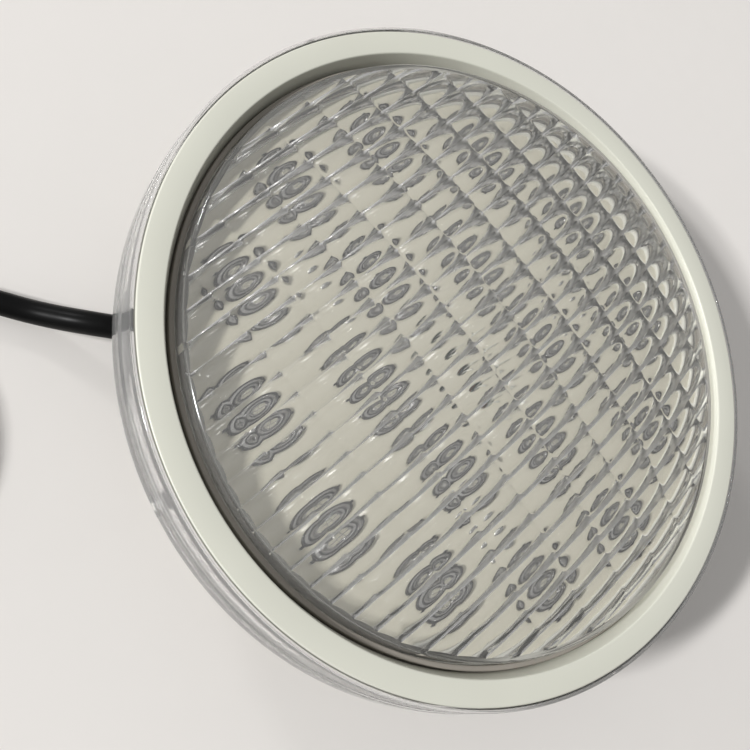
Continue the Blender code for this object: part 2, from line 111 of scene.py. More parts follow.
def add_node(tree, kind, **values):
    """A shader node with some of its inputs or properties set by name."""
    made = tree.nodes.new(kind)
    for name, value in values.items():
        label = name.replace("_", " ")
        if label in made.inputs:
            made.inputs[label].default_value = value
        else:
            setattr(made, name, value)
    return made


def speckle(tree, scale, detail=4.0, stretch=(1.0, 1.0, 1.0)):
    """Noise over the object's own coordinates."""
    place = add_node(tree, "ShaderNodeTexCoord")
    mapping = add_node(tree, "ShaderNodeMapping", Scale=stretch)
    grain = add_node(tree, "ShaderNodeTexNoise", Scale=scale, Detail=detail)
    tree.links.new(place.outputs["Object"], mapping.inputs["Vector"])
    tree.links.new(mapping.outputs["Vector"], grain.inputs["Vector"])
    return grain.outputs["Fac"]


def spread(tree, source, low, high):
    """A noise's middle range stretched from one value to another."""
    remap = add_node(tree, "ShaderNodeMapRange")
    remap.inputs["From Min"].default_value = 0.3
    remap.inputs["From Max"].default_value = 0.7
    remap.inputs["To Min"].default_value = low
    remap.inputs["To Max"].default_value = high
    tree.links.new(source, remap.inputs["Value"])
    return remap.outputs["Result"]


def shade_between(tree, source, first, second):
    """One colour fading into another along a noise."""
    ramp = add_node(tree, "ShaderNodeValToRGB")
    ramp.color_ramp.elements[0].position = 0.3
    ramp.color_ramp.elements[0].color = (*first, 1.0)
    ramp.color_ramp.elements[1].position = 0.7
    ramp.color_ramp.elements[1].color = (*second, 1.0)
    tree.links.new(source, ramp.inputs["Fac"])
    return ramp.outputs["Color"]


def roughen(tree, shader, source, strength, depth):
    """Bumps along a noise on a shader's normal."""
    bump = add_node(tree, "ShaderNodeBump", Strength=strength, Distance=depth)
    tree.links.new(source, bump.inputs["Height"])
    tree.links.new(bump.outputs["Normal"], shader.inputs["Normal"])


def moulded(name, colour, roughness, grain_scale, grain, mottle, **extra):
    """Moulded plastic, rubber or lacquer: faint mottling, uneven gloss and a fine grain."""
    made = bpy.data.materials.new(name)
    made.use_nodes = True
    tree = made.node_tree
    shader = tree.nodes["Principled BSDF"]
    for label, value in extra.items():
        shader.inputs[label.replace("_", " ")].default_value = value
    darker = [channel * (1.0 - mottle) for channel in colour]
    lighter = [min(1.0, channel * (1.0 + mottle)) for channel in colour]
    tree.links.new(shade_between(tree, speckle(tree, 38.0), darker, lighter), shader.inputs["Base Color"])
    tree.links.new(spread(tree, speckle(tree, 160.0), roughness * 0.85, roughness * 1.15),
                   shader.inputs["Roughness"])
    roughen(tree, shader, speckle(tree, grain_scale, 2.0), grain, 0.00004)
    return made


def metal(name, colour, roughness, brush=(1.0, 1.0, 1.0), scale=900.0):
    """Bare metal with fine brushing and slight stains."""
    made = bpy.data.materials.new(name)
    made.use_nodes = True
    tree = made.node_tree
    shader = tree.nodes["Principled BSDF"]
    shader.inputs["Metallic"].default_value = 1.0
    dull = [channel * 0.82 for channel in colour]
    tree.links.new(shade_between(tree, speckle(tree, 120.0), dull, colour), shader.inputs["Base Color"])
    tree.links.new(spread(tree, speckle(tree, scale, 3.0, brush), roughness * 0.7, roughness * 1.3),
                   shader.inputs["Roughness"])
    roughen(tree, shader, speckle(tree, scale, 3.0, brush), 0.2, 0.00003)
    return made


def clear_plastic(name, tint, roughness, ior, ripple, haze=0.0, passed=0.94):
    """Clear moulded plastic with a faint ripple and, where haze is given, some milkiness.

    Shadow and diffuse rays go straight on, dimmed to the passed share at each face.
    """
    made = bpy.data.materials.new(name)
    made.use_nodes = True
    tree = made.node_tree
    shader = tree.nodes["Principled BSDF"]
    shader.inputs["Base Color"].default_value = (*tint, 1.0)
    shader.inputs["Transmission Weight"].default_value = 1.0 - haze
    shader.inputs["IOR"].default_value = ior
    tree.links.new(spread(tree, speckle(tree, 60.0), roughness * 0.5, roughness * 1.6),
                   shader.inputs["Roughness"])
    roughen(tree, shader, speckle(tree, 240.0, 2.0), ripple, 0.00006)
    seen = add_node(tree, "ShaderNodeLightPath")
    passing = add_node(tree, "ShaderNodeBsdfTransparent", Color=(*[passed * c for c in tint], 1.0))
    shown = shader.outputs["BSDF"]
    for ray in ("Is Diffuse Ray", "Is Shadow Ray"):
        mix = add_node(tree, "ShaderNodeMixShader")
        tree.links.new(seen.outputs[ray], mix.inputs[0])
        tree.links.new(shown, mix.inputs[1])
        tree.links.new(passing.outputs["BSDF"], mix.inputs[2])
        shown = mix.outputs["Shader"]
    tree.links.new(shown, tree.nodes["Material Output"].inputs["Surface"])
    return made


def make_materials():
    return {
        "lens": clear_plastic("lens_clear", (0.97, 0.965, 0.95), 0.08, 1.52,
                              ripple=0.12, haze=0.04, passed=0.84),
        "rim": clear_plastic("rim_clear", (0.97, 0.97, 0.965), 0.03, 1.50,
                             ripple=0.15, haze=0.08, passed=0.50),
        "dome": clear_plastic("silicone_dome", (0.93, 0.93, 0.93), 0.01, 1.50, ripple=0.05),
        "cream": moulded("cream_plastic", (0.660, 0.660, 0.575), 0.36,
                         grain_scale=1500.0, grain=0.18, mottle=0.015, Specular_IOR_Level=0.45),
        # The lens seal's brown-grey is painted shade: it stands in for the shaded inner wall of the cream
        # ring
        "seal": moulded("lens_seal_painted_shade", (0.300, 0.275, 0.240), 0.50,
                        grain_scale=1900.0, grain=0.30, mottle=0.10),
        "rubber": moulded("seal_rubber", (0.020, 0.020, 0.021), 0.58,
                          grain_scale=1900.0, grain=0.45, mottle=0.15),
        "white": moulded("white_plastic", (0.80, 0.80, 0.75), 0.42,
                         grain_scale=1500.0, grain=0.15, mottle=0.02),
        "board": moulded("white_solder_mask", (0.76, 0.735, 0.62), 0.30,
                         grain_scale=900.0, grain=0.10, mottle=0.02, Coat_Weight=0.25, Coat_Roughness=0.2),
        "emitter": moulded("emitter_body", (0.022, 0.022, 0.023), 0.26,
                           grain_scale=1800.0, grain=0.10, mottle=0.05),
        "chip": moulded("emitter_chip", (0.62, 0.60, 0.50), 0.30,
                        grain_scale=3000.0, grain=0.10, mottle=0.10),
        "mirror": metal("emitter_cup", (0.58, 0.58, 0.58), 0.14),
        "tin": metal("tinned_lead", (0.62, 0.62, 0.61), 0.30),
        "alloy": metal("spreader_aluminium", (0.80, 0.80, 0.81), 0.34, brush=(1.0, 14.0, 1.0)),
        "housing": moulded("housing_plastic", (0.64, 0.64, 0.61), 0.46,
                           grain_scale=1300.0, grain=0.40, mottle=0.02),
        "steel": metal("screw_steel", (0.60, 0.60, 0.60), 0.26, brush=(1.0, 9.0, 1.0)),
        "laminate": moulded("driver_laminate", (0.030, 0.150, 0.060), 0.34,
                            grain_scale=700.0, grain=0.25, mottle=0.12, Coat_Weight=0.4),
        "black": moulded("component_black", (0.024, 0.024, 0.026), 0.48,
                         grain_scale=1600.0, grain=0.35, mottle=0.12),
        "sleeve": moulded("capacitor_sleeve", (0.030, 0.036, 0.120), 0.25,
                          grain_scale=900.0, grain=0.12, mottle=0.08),
        "block": moulded("terminal_plastic", (0.72, 0.73, 0.68), 0.40,
                         grain_scale=1400.0, grain=0.20, mottle=0.04),
        "copper": metal("copper_winding", (0.83, 0.42, 0.20), 0.26, brush=(1.0, 1.0, 12.0), scale=1500.0),
        "nylon": moulded("gland_nylon", (0.028, 0.028, 0.029), 0.40,
                         grain_scale=1500.0, grain=0.40, mottle=0.12),
        "jacket": moulded("cable_jacket", (0.005, 0.005, 0.005), 0.34,
                          grain_scale=1100.0, grain=0.25, mottle=0.15, Specular_IOR_Level=0.10),
        "brown": moulded("core_brown", (0.190, 0.070, 0.028), 0.36,
                         grain_scale=1300.0, grain=0.20, mottle=0.08),
        "blue": moulded("core_blue", (0.030, 0.100, 0.440), 0.36,
                        grain_scale=1300.0, grain=0.20, mottle=0.08),
    }


# ---------------------------------------------------------------- mesh tools

def rounded(corners, steps=4):
    """Outline through (radius, height, setback) corners, each rounded over its setback."""
    places = [Vector(corner[:2]) for corner in corners]
    outline = []
    for index, corner in enumerate(corners):
        here = places[index]
        setback = corner[2] if len(corner) > 2 else 0.0
        if setback <= 0.0:
            outline.append(here)
            continue
        before = (places[index - 1] - here).normalized() * setback + here
        after = (places[(index + 1) % len(places)] - here).normalized() * setback + here
        for step in range(steps + 1):
            t = step / steps
            outline.append(before * (1 - t) ** 2 + here * 2 * t * (1 - t) + after * t ** 2)
    return outline


def finish_shape(name, shape, materials, body="root", slot=None, replaces=(), sharp=32.0, place=None):
    """Turn a bmesh into a smooth-shaded piece that rides on a body."""
    bmesh.ops.remove_doubles(shape, verts=list(shape.verts), dist=1e-7)
    bmesh.ops.recalc_face_normals(shape, faces=list(shape.faces))
    mesh = bpy.data.meshes.new(name)
    shape.to_mesh(mesh)
    shape.free()
    if place is not None:
        mesh.transform(place)
    mesh.shade_smooth()
    mesh.set_sharp_from_angle(angle=math.radians(sharp))
    for finish in materials:
        mesh.materials.append(finish)
    piece = bpy.data.objects.new(name, mesh)
    bpy.context.scene.collection.objects.link(piece)
    if body is not None:
        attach(piece, body)
    if replaces:
        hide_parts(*replaces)
    return piece


def add_turned(shape, outline, segments, closed=True, material=0, place=None):
    """Add a turned surface about Z to a bmesh. Points on the axis become one vertex."""
    matrix = place or Matrix.Identity(4)
    rows = []
    for radius, height in outline:
        if radius < 1e-6:
            rows.append([shape.verts.new(matrix @ Vector((0.0, 0.0, height)))])
            continue
        row = []
        for index in range(segments):
            angle = 2.0 * math.pi * index / segments
            row.append(shape.verts.new(matrix @ Vector((radius * math.cos(angle),
                                                        radius * math.sin(angle), height))))
        rows.append(row)
    pairs = list(zip(rows, rows[1:]))
    if closed:
        pairs.append((rows[-1], rows[0]))
    for first, second in pairs:
        for index in range(segments):
            onward = (index + 1) % segments
            corners = [first[index % len(first)], first[onward % len(first)],
                       second[onward % len(second)], second[index % len(second)]]
            distinct = list(dict.fromkeys(corners))
            if len(distinct) > 2:
                shape.faces.new(distinct).material_index = material


def turned(name, outline, materials, segments, **details):
    """A turned piece from one closed outline."""
    shape = bmesh.new()
    add_turned(shape, outline, segments)
    return finish_shape(name, shape, materials, **details)


def add_box(shape, low, high, bevel=0.0, place=None, material=0):
    """Add a box with bevelled edges to a bmesh."""
    size = Vector(high) - Vector(low)
    middle = (Vector(high) + Vector(low)) / 2.0
    matrix = (place or Matrix.Identity(4)) @ Matrix.Translation(middle) @ Matrix.Diagonal((*size, 1.0))
    made = bmesh.ops.create_cube(shape, size=1.0, matrix=matrix)
    faces = {face for vert in made["verts"] for face in vert.link_faces}
    if bevel > 0.0:
        edges = {edge for vert in made["verts"] for edge in vert.link_edges}
        cut = bmesh.ops.bevel(shape, geom=list(edges), offset=bevel, segments=2, affect="EDGES",
                              profile=0.5)
        faces = set(cut["faces"]) | {face for face in faces if face.is_valid}
    for face in faces:
        face.material_index = material


def add_prism(shape, sides, radius, low, high):
    """Add a regular prism about Z to a bmesh."""
    matrix = Matrix.Translation((0.0, 0.0, (low + high) / 2.0))
    bmesh.ops.create_cone(shape, cap_ends=True, segments=sides, radius1=radius, radius2=radius,
                          depth=high - low, matrix=matrix)


def combine(first, second, operation):
    """Boolean of two bmeshes as a new bmesh. Both are used up."""
    items = []
    for label, shape in (("first", first), ("second", second)):
        bmesh.ops.remove_doubles(shape, verts=list(shape.verts), dist=1e-7)
        bmesh.ops.recalc_face_normals(shape, faces=list(shape.faces))
        mesh = bpy.data.meshes.new(label)
        shape.to_mesh(mesh)
        shape.free()
        item = bpy.data.objects.new(label, mesh)
        bpy.context.scene.collection.objects.link(item)
        items.append(item)
    step = items[0].modifiers.new("combine", "BOOLEAN")
    step.operation = operation
    step.solver = "EXACT"
    step.object = items[1]
    step.use_self = operation == "UNION"
    shown = items[0].evaluated_get(bpy.context.evaluated_depsgraph_get())
    result = bmesh.new()
    result.from_mesh(shown.data)
    for item in items:
        mesh = item.data
        bpy.data.objects.remove(item, do_unlink=True)
        bpy.data.meshes.remove(mesh)
    return result


def on_circle(circle):
    """Number and placing matrix of each place on a bolt or lamp circle."""
    radius, count, start = circle
    for index in range(count):
        angle = start + 2.0 * math.pi * index / count
        place = Matrix.Translation((radius * math.cos(angle), radius * math.sin(angle), 0.0))
        yield index + 1, place @ Matrix.Rotation(angle, 4, "Z")


def smooth_route(points, steps):
    """Catmull-Rom curve through the points, with the given number of steps in each span."""
    places = [Vector(point) for point in points]
    padded = [2.0 * places[0] - places[1], *places, 2.0 * places[-1] - places[-2]]
    route = []
    for first, start, end, last in zip(padded, padded[1:], padded[2:], padded[3:]):
        for step in range(steps):
            t = step / steps
            route.append(0.5 * (2.0 * start + (end - first) * t
                                + (2.0 * first - 5.0 * start + 4.0 * end - last) * t ** 2
                                + (3.0 * start - first - 3.0 * end + last) * t ** 3))
    route.append(places[-1])
    return route


def wire(name, route, radius, finish, replaces, body="root"):
    """A round wire along a list of points."""
    data = bpy.data.curves.new(name, "CURVE")
    data.dimensions = "3D"
    data.bevel_depth = radius
    data.bevel_resolution = 5
    data.use_fill_caps = True
    spline = data.splines.new("POLY")
    spline.points.add(len(route) - 1)
    for point, place in zip(spline.points, route):
        point.co = (*place, 1.0)
    spline.use_smooth = True
    data.materials.append(finish)
    piece = bpy.data.objects.new(name, data)
    bpy.context.scene.collection.objects.link(piece)
    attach(piece, body)
    if replaces:
        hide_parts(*replaces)
    return piece


# ---------------------------------------------------------------- camera, floor and light

def make_camera():
    """The photograph's view: from above the cable's side, with the camera rolled."""
    place = Vector((-0.1304, -0.0770, 0.2471))
    aim = Vector((-0.0292, -0.0120, FACE_Z))
    image_up = Vector((-0.1431, 0.9611, 0.2364))
    back = (place - aim).normalized()
    right = image_up.cross(back).normalized()
    up = back.cross(right)
    data = bpy.data.cameras.new("camera")
    data.lens = 48.0
    data.clip_start = 0.01
    camera = bpy.data.objects.new("camera", data)
    bpy.context.scene.collection.objects.link(camera)
    turn = Matrix((right, up, back)).transposed().to_4x4()
    camera.matrix_world = Matrix.Translation(place) @ turn
    bpy.context.scene.camera = camera


def make_floor():
    shape = bmesh.new()
    bmesh.ops.create_grid(shape, x_segments=2, y_segments=2, size=3.0)
    finish = moulded("studio_floor", (0.80, 0.770, 0.738), 0.55, grain_scale=900.0, grain=0.05,
                     mottle=0.004)
    floor = finish_shape("studio_floor", shape, [finish], body=None)


def area_light(name, direction, distance, size, power):
    """A rectangular lamp that faces the middle of the object from a direction."""
    data = bpy.data.lights.new(name, "AREA")
    data.shape = "RECTANGLE"
    data.size, data.size_y = size
    data.energy = power
    lamp = bpy.data.objects.new(name, data)
    toward = Vector(direction).normalized()
    turn = toward.to_track_quat("Z", "Y").to_matrix().to_4x4()
    lamp.matrix_world = Matrix.Translation(toward * distance) @ turn
    bpy.context.scene.collection.objects.link(lamp)


def from_sky(azimuth, zenith):
    """Direction from the object towards a place given in degrees."""
    a, z = math.radians(azimuth), math.radians(zenith)
    return (math.cos(a) * math.sin(z), math.sin(a) * math.sin(z), math.cos(z))


def make_lights():
    """Two panes of a far window on the cable's side, a nearer weak one, and a pale room around."""
    for name, azimuth, zenith in (("window_left", 188.0, 56.0), ("window_right", 192.0, 58.5)):
        area_light(name, from_sky(azimuth, zenith), distance=8.0, size=(0.42, 0.42), power=322.0)
    area_light("side_window", from_sky(134.0, 62.0), distance=4.0, size=(0.50, 0.40), power=22.0)
    world = bpy.data.worlds.new("pale_room")
    world.use_nodes = True
    bpy.context.scene.world = world
    tree = world.node_tree
    background = tree.nodes["Background"]
    place = add_node(tree, "ShaderNodeTexCoord")
    lean = add_node(tree, "ShaderNodeVectorMath", operation="DOT_PRODUCT")
    lean.inputs[1].default_value = (-0.50, 0.30, 0.80)
    tree.links.new(place.outputs["Generated"], lean.inputs[0])
    ramp = add_node(tree, "ShaderNodeValToRGB")
    ramp.color_ramp.elements[0].position = 0.0
    ramp.color_ramp.elements[0].color = (0.22, 0.22, 0.22, 1.0)
    ramp.color_ramp.elements[1].position = 0.85
    ramp.color_ramp.elements[1].color = (0.49, 0.49, 0.49, 1.0)
    tree.links.new(lean.outputs["Value"], ramp.inputs["Fac"])
    tree.links.new(ramp.outputs["Color"], background.inputs["Color"])
    background.inputs["Strength"].default_value = 1.0
    bpy.context.scene.view_settings.view_transform = "Standard"


# ---------------------------------------------------------------- cable

def ease(value):
    """Smooth step from 0 to 1."""
    t = min(1.0, max(0.0, value))
    return t * t * (3.0 - 2.0 * t)


def coil_points():
    """Points of the coil: three turns inwards on the floor, then outwards again on top of them.

    The cable comes in at 90 degrees and leaves at 180, five and a quarter turns later.
    """
    outer, middle, inner = COIL_RADII
    low, high = COIL_LAYERS
    tracks = ((outer, low), (middle, low), (inner, low), (inner, high), (middle, high), (outer, high))
    start, end = 90.0, 180.0 + 5 * 360.0
    count = round((end - start) / 360.0 * COIL_STEPS)
    points = []
    for index in range(1, count + 1):
        angle = start + (end - start) * index / count
        turn = int((angle - CROSSING[0]) // 360.0)
        radius, height = tracks[min(turn, len(tracks) - 1)]
        into = (angle - CROSSING[0]) % 360.0 / (CROSSING[1] - CROSSING[0])
        if into < 1.0 and 0 < turn < len(tracks):
            last_radius, last_height = tracks[turn - 1]
            radius = last_radius + (radius - last_radius) * ease(into)
            height = last_height + (height - last_height) * ease(into)
        off_tie = abs((angle - TIE_ANGLE + 180.0) % 360.0 - 180.0)
        height += TIE_LIFT * ease(1.0 - off_tie / 40.0)
        turned_by = math.radians(angle)
        points.append(COIL_CENTRE + Vector((radius * math.cos(turned_by), radius * math.sin(turned_by),
                                            height)))
    return points


def make_tie(m):
    """A nylon strap once round the coil's turns, with the head that it is pulled through."""
    inner, outer = COIL_RADII[-1] - CABLE_R - 0.0004, COIL_RADII[0] + CABLE_R + 0.0004
    low = COIL_LAYERS[0] + TIE_LIFT - CABLE_R - 0.0004
    high = COIL_LAYERS[1] + TIE_LIFT + CABLE_R + 0.0004
    thick, half, corner = 0.0010, 0.0023, 0.0026
    shape = bmesh.new()
    loops = []
    for grow in (0.0, thick):
        setback = corner + grow
        outline = rounded(((inner - grow, low - grow, setback), (outer + grow, low - grow, setback),
                           (outer + grow, high + grow, setback), (inner - grow, high + grow, setback)), 6)
        loops.append([[shape.verts.new((place.x, side, place.y)) for place in outline]
                      for side in (-half, half)])
    (near_in, far_in), (near_out, far_out) = loops
    count = len(near_in)
    for index in range(count):
        onward = (index + 1) % count
        for first, second in ((near_in, far_in), (far_in, far_out), (far_out, near_out),
                              (near_out, near_in)):
            shape.faces.new((first[index], first[onward], second[onward], second[index]))
    add_box(shape, (outer - 0.0012, -0.0031, high - 0.0040), (outer + 0.0024, 0.0031, high + 0.0003),
            bevel=0.0005)
    turn = Matrix.Translation(COIL_CENTRE) @ Matrix.Rotation(math.radians(TIE_ANGLE), 4, "Z")
    return finish_shape("coil_strap", shape, [m["nylon"]], slot="seal_rubber", replaces=["cable_tie"],
                        place=turn)


def make_cable(m):
    """The cable from inside the gland to its stripped end, in one line."""
    leave = smooth_route(ROUTE, 5)
    coil = coil_points()
    # The outer spans only guide these two curves, and are cut off again
    into_coil = smooth_route((leave[-2], leave[-1], (-0.1480, 0.0058, 0.0035), coil[0], coil[1]), 6)[6:-7]
    out_of_coil = smooth_route((coil[-2], coil[-1], (-0.2022, -0.0480, 0.0094), TAIL[0], TAIL[1]),
                               6)[7:-7]
    route = leave[:-1] + into_coil + coil + out_of_coil + smooth_route(TAIL, 4)
    cable = wire("supply_cable", route, CABLE_R, m["jacket"],
                 ["cable", "cable_coil", "cable_tail"])
    end, before = Vector(TAIL[-1]), Vector(TAIL[-2])
    onward = (end - before).normalized()
    across = onward.cross(Vector((0.0, 0.0, 1.0))).normalized()
    # The cores' way on from the jacket's end: ahead, outwards and up
    steps = ((-0.0030, 0.0012, 0.0), (0.0005, 0.0013, 0.0), (0.0060, 0.0018, -0.0009),
             (0.0130, 0.0042, -0.0017), (0.0210, 0.0070, -0.0018))
    pieces = [make_tie(m)]
    for name, side in (("core_brown", -1.0), ("core_blue", 1.0)):
        places = [end + onward * ahead + across * side * out + Vector((0.0, 0.0, up))
                  for ahead, out, up in steps]
        span = 8
        line = smooth_route(places, span)
        strip = len(line) - 1 - span
        colour = m[name.split("_")[1]]
        pieces.append(wire(f"{name}_wire", line[:strip + 1], 0.0011, colour, [name]))
        pieces.append(wire(f"{name}_strands", line[strip - 1:], 0.00075, m["copper"], []))


# ---------------------------------------------------------------- front of the lamp

def dome_height(radius):
    """Height of the lens's smooth outer face."""
    rise = LENS_TOP_Z - LENS_EDGE_Z
    sphere = (LENS_R ** 2 + rise ** 2) / (2.0 * rise)
    return LENS_TOP_Z - sphere + math.sqrt(sphere ** 2 - radius ** 2)


def cell_height(u, v):
    """Height of the lens's inner face, at a place along and across the cells."""
    along = 2.0 * ((u - CELL_SHIFT[0]) / CELL_LENGTH % 1.0) - 1.0
    across = 2.0 * ((v - CELL_SHIFT[1]) / CELL_WIDTH % 1.0) - 1.0
    ridge = HOLLOW_ALONG * along ** 2 + HOLLOW_ACROSS * across ** 2
    return dome_height(math.hypot(u, v)) - CELL_WALL - ridge


def add_cells(shape, radius):
    """Add the lens's inner face, a grid in line with the cells and cut along a circle.

    Returns the vertices on the circle, in order of angle.
    """
    step_u, step_v = CELL_LENGTH / CELL_STEPS[0], CELL_WIDTH / CELL_STEPS[1]
    made = {}

    def vert(key, u, v):
        if key not in made:
            x = u * math.cos(CELL_TURN) - v * math.sin(CELL_TURN)
            y = u * math.sin(CELL_TURN) + v * math.cos(CELL_TURN)
            made[key] = shape.verts.new((x, y, cell_height(u, v)))
        return made[key]

    count_u = math.ceil((radius + CELL_LENGTH) / step_u)
    count_v = math.ceil((radius + CELL_WIDTH) / step_v)
    for i in range(-count_u, count_u):
        for j in range(-count_v, count_v):
            corners = ((i, j), (i + 1, j), (i + 1, j + 1), (i, j + 1))
            places = [(CELL_SHIFT[0] + a * step_u, CELL_SHIFT[1] + b * step_v) for a, b in corners]
            inside = [math.hypot(u, v) < radius for u, v in places]
            if not any(inside):
                continue
            face = []
            for index in range(4):
                onward = (index + 1) % 4
                if inside[index]:
                    face.append(vert(corners[index], *places[index]))
                if inside[index] == inside[onward]:
                    continue
                (u, v), (next_u, next_v) = places[index], places[onward]
                if v == next_v:
                    edge_u = math.copysign(math.sqrt(radius ** 2 - v ** 2), u + next_u)
                    face.append(vert(("row", corners[index][1], edge_u > 0.0), edge_u, v))
                else:
                    edge_v = math.copysign(math.sqrt(radius ** 2 - u ** 2), v + next_v)
                    face.append(vert(("column", corners[index][0], edge_v > 0.0), u, edge_v))
            if len(face) > 2:
                shape.faces.new(face)
    edge = [vertex for key, vertex in made.items() if key[0] in ("row", "column")]
    return sorted(edge, key=lambda vertex: math.atan2(vertex.co.y, vertex.co.x))


def make_lens(m):
    """The clear front: a smooth dome outside, hollow cells inside, and a flanged wall."""
    shape = bmesh.new()
    edge = add_cells(shape, LENS_INNER_R)
    angles = [math.atan2(vertex.co.y, vertex.co.x) for vertex in edge]
    low, high = LENS_FLANGE_Z
    wall = rounded(((LENS_INNER_R, LENS_EDGE_Z - 0.006), (LENS_INNER_R, low, 0.0004),
                    (LENS_FLANGE_R, low, 0.0005), (LENS_FLANGE_R, high, 0.0005), (LENS_R, high, 0.0006),
                    (LENS_R, dome_height(LENS_R), 0.0009), (0.072, dome_height(0.072))), 4)
    dome_rings = 26
    outline = wall + [Vector((0.070 * (1.0 - step / dome_rings), 0.0)) for step in range(dome_rings)]
    previous = edge
    for place in outline:
        radius = place.x
        height = dome_height(radius) if place.y == 0.0 else place.y
        ring = [shape.verts.new((radius * math.cos(a), radius * math.sin(a), height)) for a in angles]
        for index in range(len(ring)):
            onward = (index + 1) % len(ring)
            shape.faces.new((previous[index], previous[onward], ring[onward], ring[index]))
        previous = ring
    apex = shape.verts.new((0.0, 0.0, LENS_TOP_Z))
    for index in range(len(previous)):
        shape.faces.new((previous[index], previous[(index + 1) % len(previous)], apex))
    return finish_shape("prism_lens", shape, [m["lens"]], slot="clear_shell", replaces=["front_lens"],
                        sharp=50.0)


def make_clear_rim(m):
    """The clear outer rim: a thin wall, a stepped foot and an inner shelf with sunk screw holes."""
    outline = rounded(((RIM_WALL_R, FACE_Z, 0.0004), (RIM_WALL_R, RIM_FOOT_Z + 0.0004, 0.0003),
                       (RIM_R, RIM_FOOT_Z, 0.0004), (RIM_R, SEAT_Z, 0.0007), (SHELF_R, SEAT_Z, 0.0004),
                       (SHELF_R, SHELF_Z, 0.0004), (RIM_BORE_R, SHELF_Z, 0.0003),
                       (RIM_BORE_R, FACE_Z, 0.0003)))
    shape = bmesh.new()
    add_turned(shape, outline, 240)
    holes = bmesh.new()
    for _, place in on_circle(RIM_CIRCLE):
        cutter = rounded(((0.0, SHELF_Z + 0.001), (0.0015, SHELF_Z + 0.001), (0.0015, SEAT_Z + 0.0017),
                          (0.0026, SEAT_Z + 0.0017), (0.0026, SEAT_Z - 0.001), (0.0, SEAT_Z - 0.001)))
        add_turned(holes, cutter, 32, closed=False, place=place)
    shape = combine(shape, holes, "DIFFERENCE")
    return finish_shape("rim_shell", shape, [m["rim"]], slot="clear_shell", replaces=["clear_rim"])


def make_face_ring(m):
    """The cream ring, with a sloped inner wall."""
    outline = rounded(((RING_OUTER_R, FACE_Z, 0.0005), (RING_OUTER_R, RING_BOTTOM_Z, 0.0003),
                       (RING_FOOT_R, RING_BOTTOM_Z, 0.0002), (RING_FOOT_R, RING_BOTTOM_Z + 0.0006, 0.0002),
                       (RING_FACE_R, FACE_Z, 0.0004)))
    return turned("cream_ring", outline, [m["cream"]], 240, slot="cream_ring", replaces=["face_ring"])


def make_seals(m):
    """The lens gasket, its upstand 1.5 mm taller than the CAD model's, and the cup's gasket."""
    low, high = LENS_FLANGE_Z[1] + GAP, RING_BOTTOM_Z - GAP
    # The raised upstand and its brown-grey colour are painted shade for the cream ring's shaded inner wall
    inner, upstand, top = LENS_R + 0.0004, RING_FOOT_R - GAP, 0.0408
    outline = rounded(((LENS_FLANGE_R, high, 0.0003), (LENS_FLANGE_R, low, 0.0002), (inner, low, 0.0002),
                       (inner, top, 0.0004), (upstand, top, 0.0004), (upstand, high, 0.0002)))
    turned("lens_seal", outline, [m["seal"]], 200, slot="seal_rubber", replaces=["lens_gasket"])
    outline = rounded(((0.0518, 0.0247, 0.0002), (0.0566, 0.0247, 0.0002), (0.0566, 0.0252, 0.0002),
                       (0.0518, 0.0252, 0.0002)))
    turned("cup_seal", outline, [m["rubber"]], 128, slot="seal_rubber", replaces=["cup_gasket"])


def make_board_ring(m):
    outline = rounded(((0.0771, 0.0349, 0.0004), (0.0771, 0.0317, 0.0002), (0.0728, 0.0317, 0.0002),
                       (0.0738, 0.0349, 0.0004)))
    turned("board_surround", outline, [m["white"]], 200, slot="white_inner", replaces=["board_ring"])


def make_led(name, place, m, node):
    """An emitter: a round holder with a stepped mirror cup, a clear dome, chips and two tinned legs."""
    in_body, in_mirror, in_dome, in_chip, in_tin = range(5)
    shape = bmesh.new()
    base = LED_Z
    holder = rounded(((0.0, base), (0.0080, base, 0.0002), (0.0080, base + 0.0014, 0.0003),
                      (0.0071, base + 0.0014, 0.0003), (0.0069, base + 0.0010)), 3)
    add_turned(shape, holder, 56, closed=False, material=in_body, place=place)
    steps = ((0.0069, 0.0010), (0.0058, 0.0013), (0.0055, 0.0009), (0.0048, 0.0009), (0.0046, 0.0012),
             (0.0037, 0.0010), (0.0031, 0.0004), (0.0, 0.0004))
    dull_bands = (2, 5)
    for index, (outer, inner) in enumerate(zip(steps, steps[1:])):
        band = [(outer[0], base + outer[1]), (inner[0], base + inner[1])]
        finish = in_body if index in dull_bands else in_mirror
        add_turned(shape, band, 56, closed=False, material=finish, place=place)
    for index in range(4):
        angle = math.pi * (0.25 + 0.5 * index)
        spot = place @ Matrix.Translation((0.0011 * math.cos(angle), 0.0011 * math.sin(angle), 0.0))
        add_box(shape, (-0.0006, -0.0006, base + 0.0004), (0.0006, 0.0006, base + 0.0006), place=spot,
                material=in_chip)
    dome_r, dome_z = 0.0026, base + 0.0008
    dome = [(dome_r * math.sin(a), dome_z + dome_r * math.cos(a))
            for a in (math.radians(7.5 * step) for step in range(13))]
    add_turned(shape, dome + [(0.0, dome_z)], 40, closed=False, material=in_dome, place=place)
    for side in (-1.0, 1.0):
        low_x, high_x = sorted((side * 0.0077, side * 0.0094))
        add_box(shape, (low_x, -0.0010, base - 0.0001), (high_x, 0.0010, base + 0.0003), bevel=0.00008,
                place=place, material=in_tin)
    finishes = [m["emitter"], m["mirror"], m["dome"], m["chip"], m["tin"]]
    return finish_shape(name, shape, finishes, slot="emitter", replaces=[node])


def make_leds(m):
    for label, circle in (("outer", OUTER_LEDS), ("inner", INNER_LEDS)):
        for number, place in on_circle(circle):
            make_led(f"emitter_{label}_{number:02d}", place, m, f"led_{label}_{number:02d}")


# ---------------------------------------------------------------- back of the lamp

